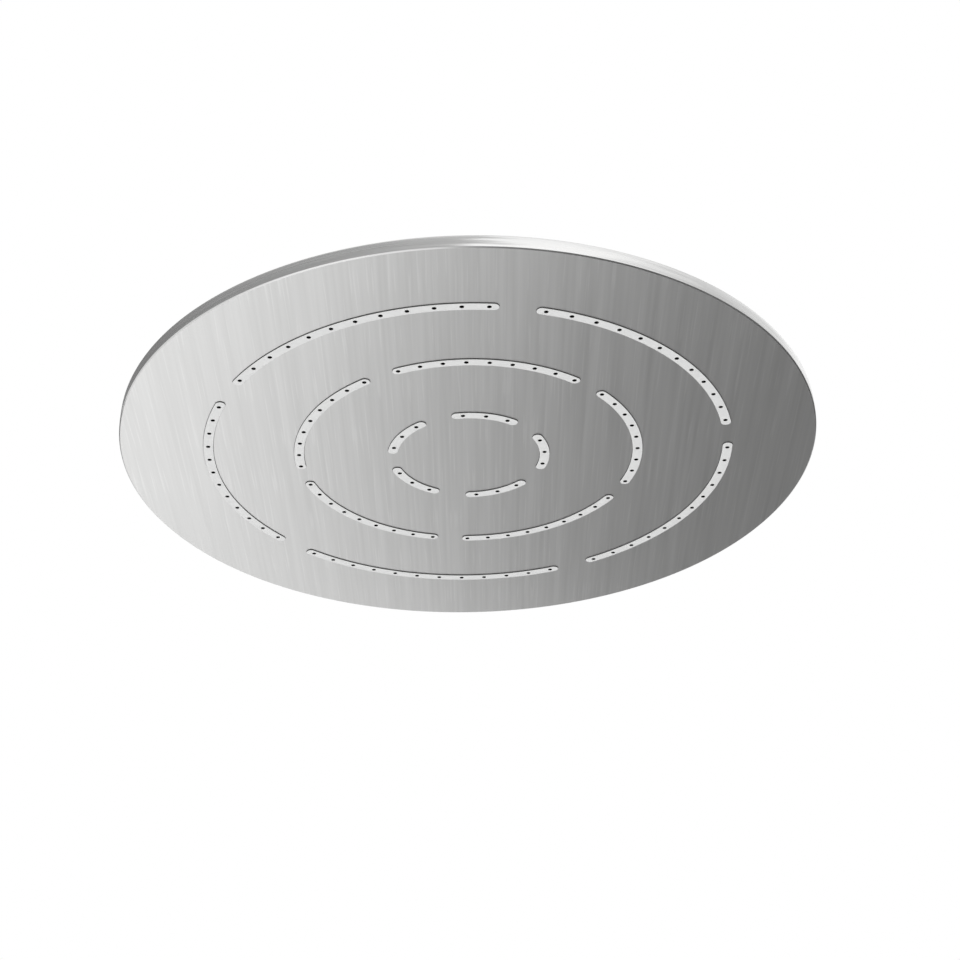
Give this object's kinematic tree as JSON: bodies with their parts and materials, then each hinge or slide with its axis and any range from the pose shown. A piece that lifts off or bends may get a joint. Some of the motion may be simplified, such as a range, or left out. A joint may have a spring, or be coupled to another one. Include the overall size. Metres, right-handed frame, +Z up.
{
  "type": "overhead shower head",
  "caption": "Flat round rain shower head in brushed steel with rings of white silicone nozzle strips, hung on a ball joint from a threaded inlet.",
  "frame": {"origin": "on the inlet's axis at the mouth of its thread", "axes": "+Z up along the inlet towards the arm, the spray face looking down -Z"},
  "size_m": [0.4499, 0.45, 0.0573],
  "materials": {
    "face_steel": "straight brushed stainless steel",
    "shell_steel": "brushed stainless steel",
    "satin_brass": "brass with a satin nickel plate",
    "screen_steel": "plain stainless steel",
    "white_silicone": "matt white silicone",
    "black_rubber": "matt black rubber",
    "ring_plastic": "natural white acetal"
  },
  "bodies": {
    "inlet": {"ball_stem": "satin_brass", "inlet_washer": "black_rubber", "filter_screen": "screen_steel"},
    "swivel": {"ball_seal": "black_rubber"},
    "head": {"friction_ring": "ring_plastic", "retaining_nut": "satin_brass", "inlet_boss": "shell_steel", "rear_shell": "shell_steel", "face_plate": "face_steel", "stay_posts_outer": "shell_steel", "stay_posts_inner": "shell_steel", "nozzle_strip_outer_1": "white_silicone", "nozzle_strip_outer_2": "white_silicone", "nozzle_strip_outer_3": "white_silicone", "nozzle_strip_outer_4": "white_silicone", "nozzle_strip_outer_5": "white_silicone", "nozzle_strip_middle_1": "white_silicone", "nozzle_strip_middle_2": "white_silicone", "nozzle_strip_middle_3": "white_silicone", "nozzle_strip_middle_4": "white_silicone", "nozzle_strip_middle_5": "white_silicone", "nozzle_strip_inner_1": "white_silicone", "nozzle_strip_inner_2": "white_silicone", "nozzle_strip_inner_3": "white_silicone", "nozzle_strip_inner_4": "white_silicone", "nozzle_strip_inner_5": "white_silicone"}
  },
  "joints": [
    {"name": "head_swivel", "type": "hinge", "parent": "inlet", "child": "swivel", "pos_m": [0, 0, -0.0307], "axis": [0, 0, 1], "continuous": true},
    {"name": "head_tilt", "type": "hinge", "parent": "swivel", "child": "head", "pos_m": [0, 0, -0.0307], "axis": [1, 0, 0], "range_deg": [-15, 15]}
  ]
}
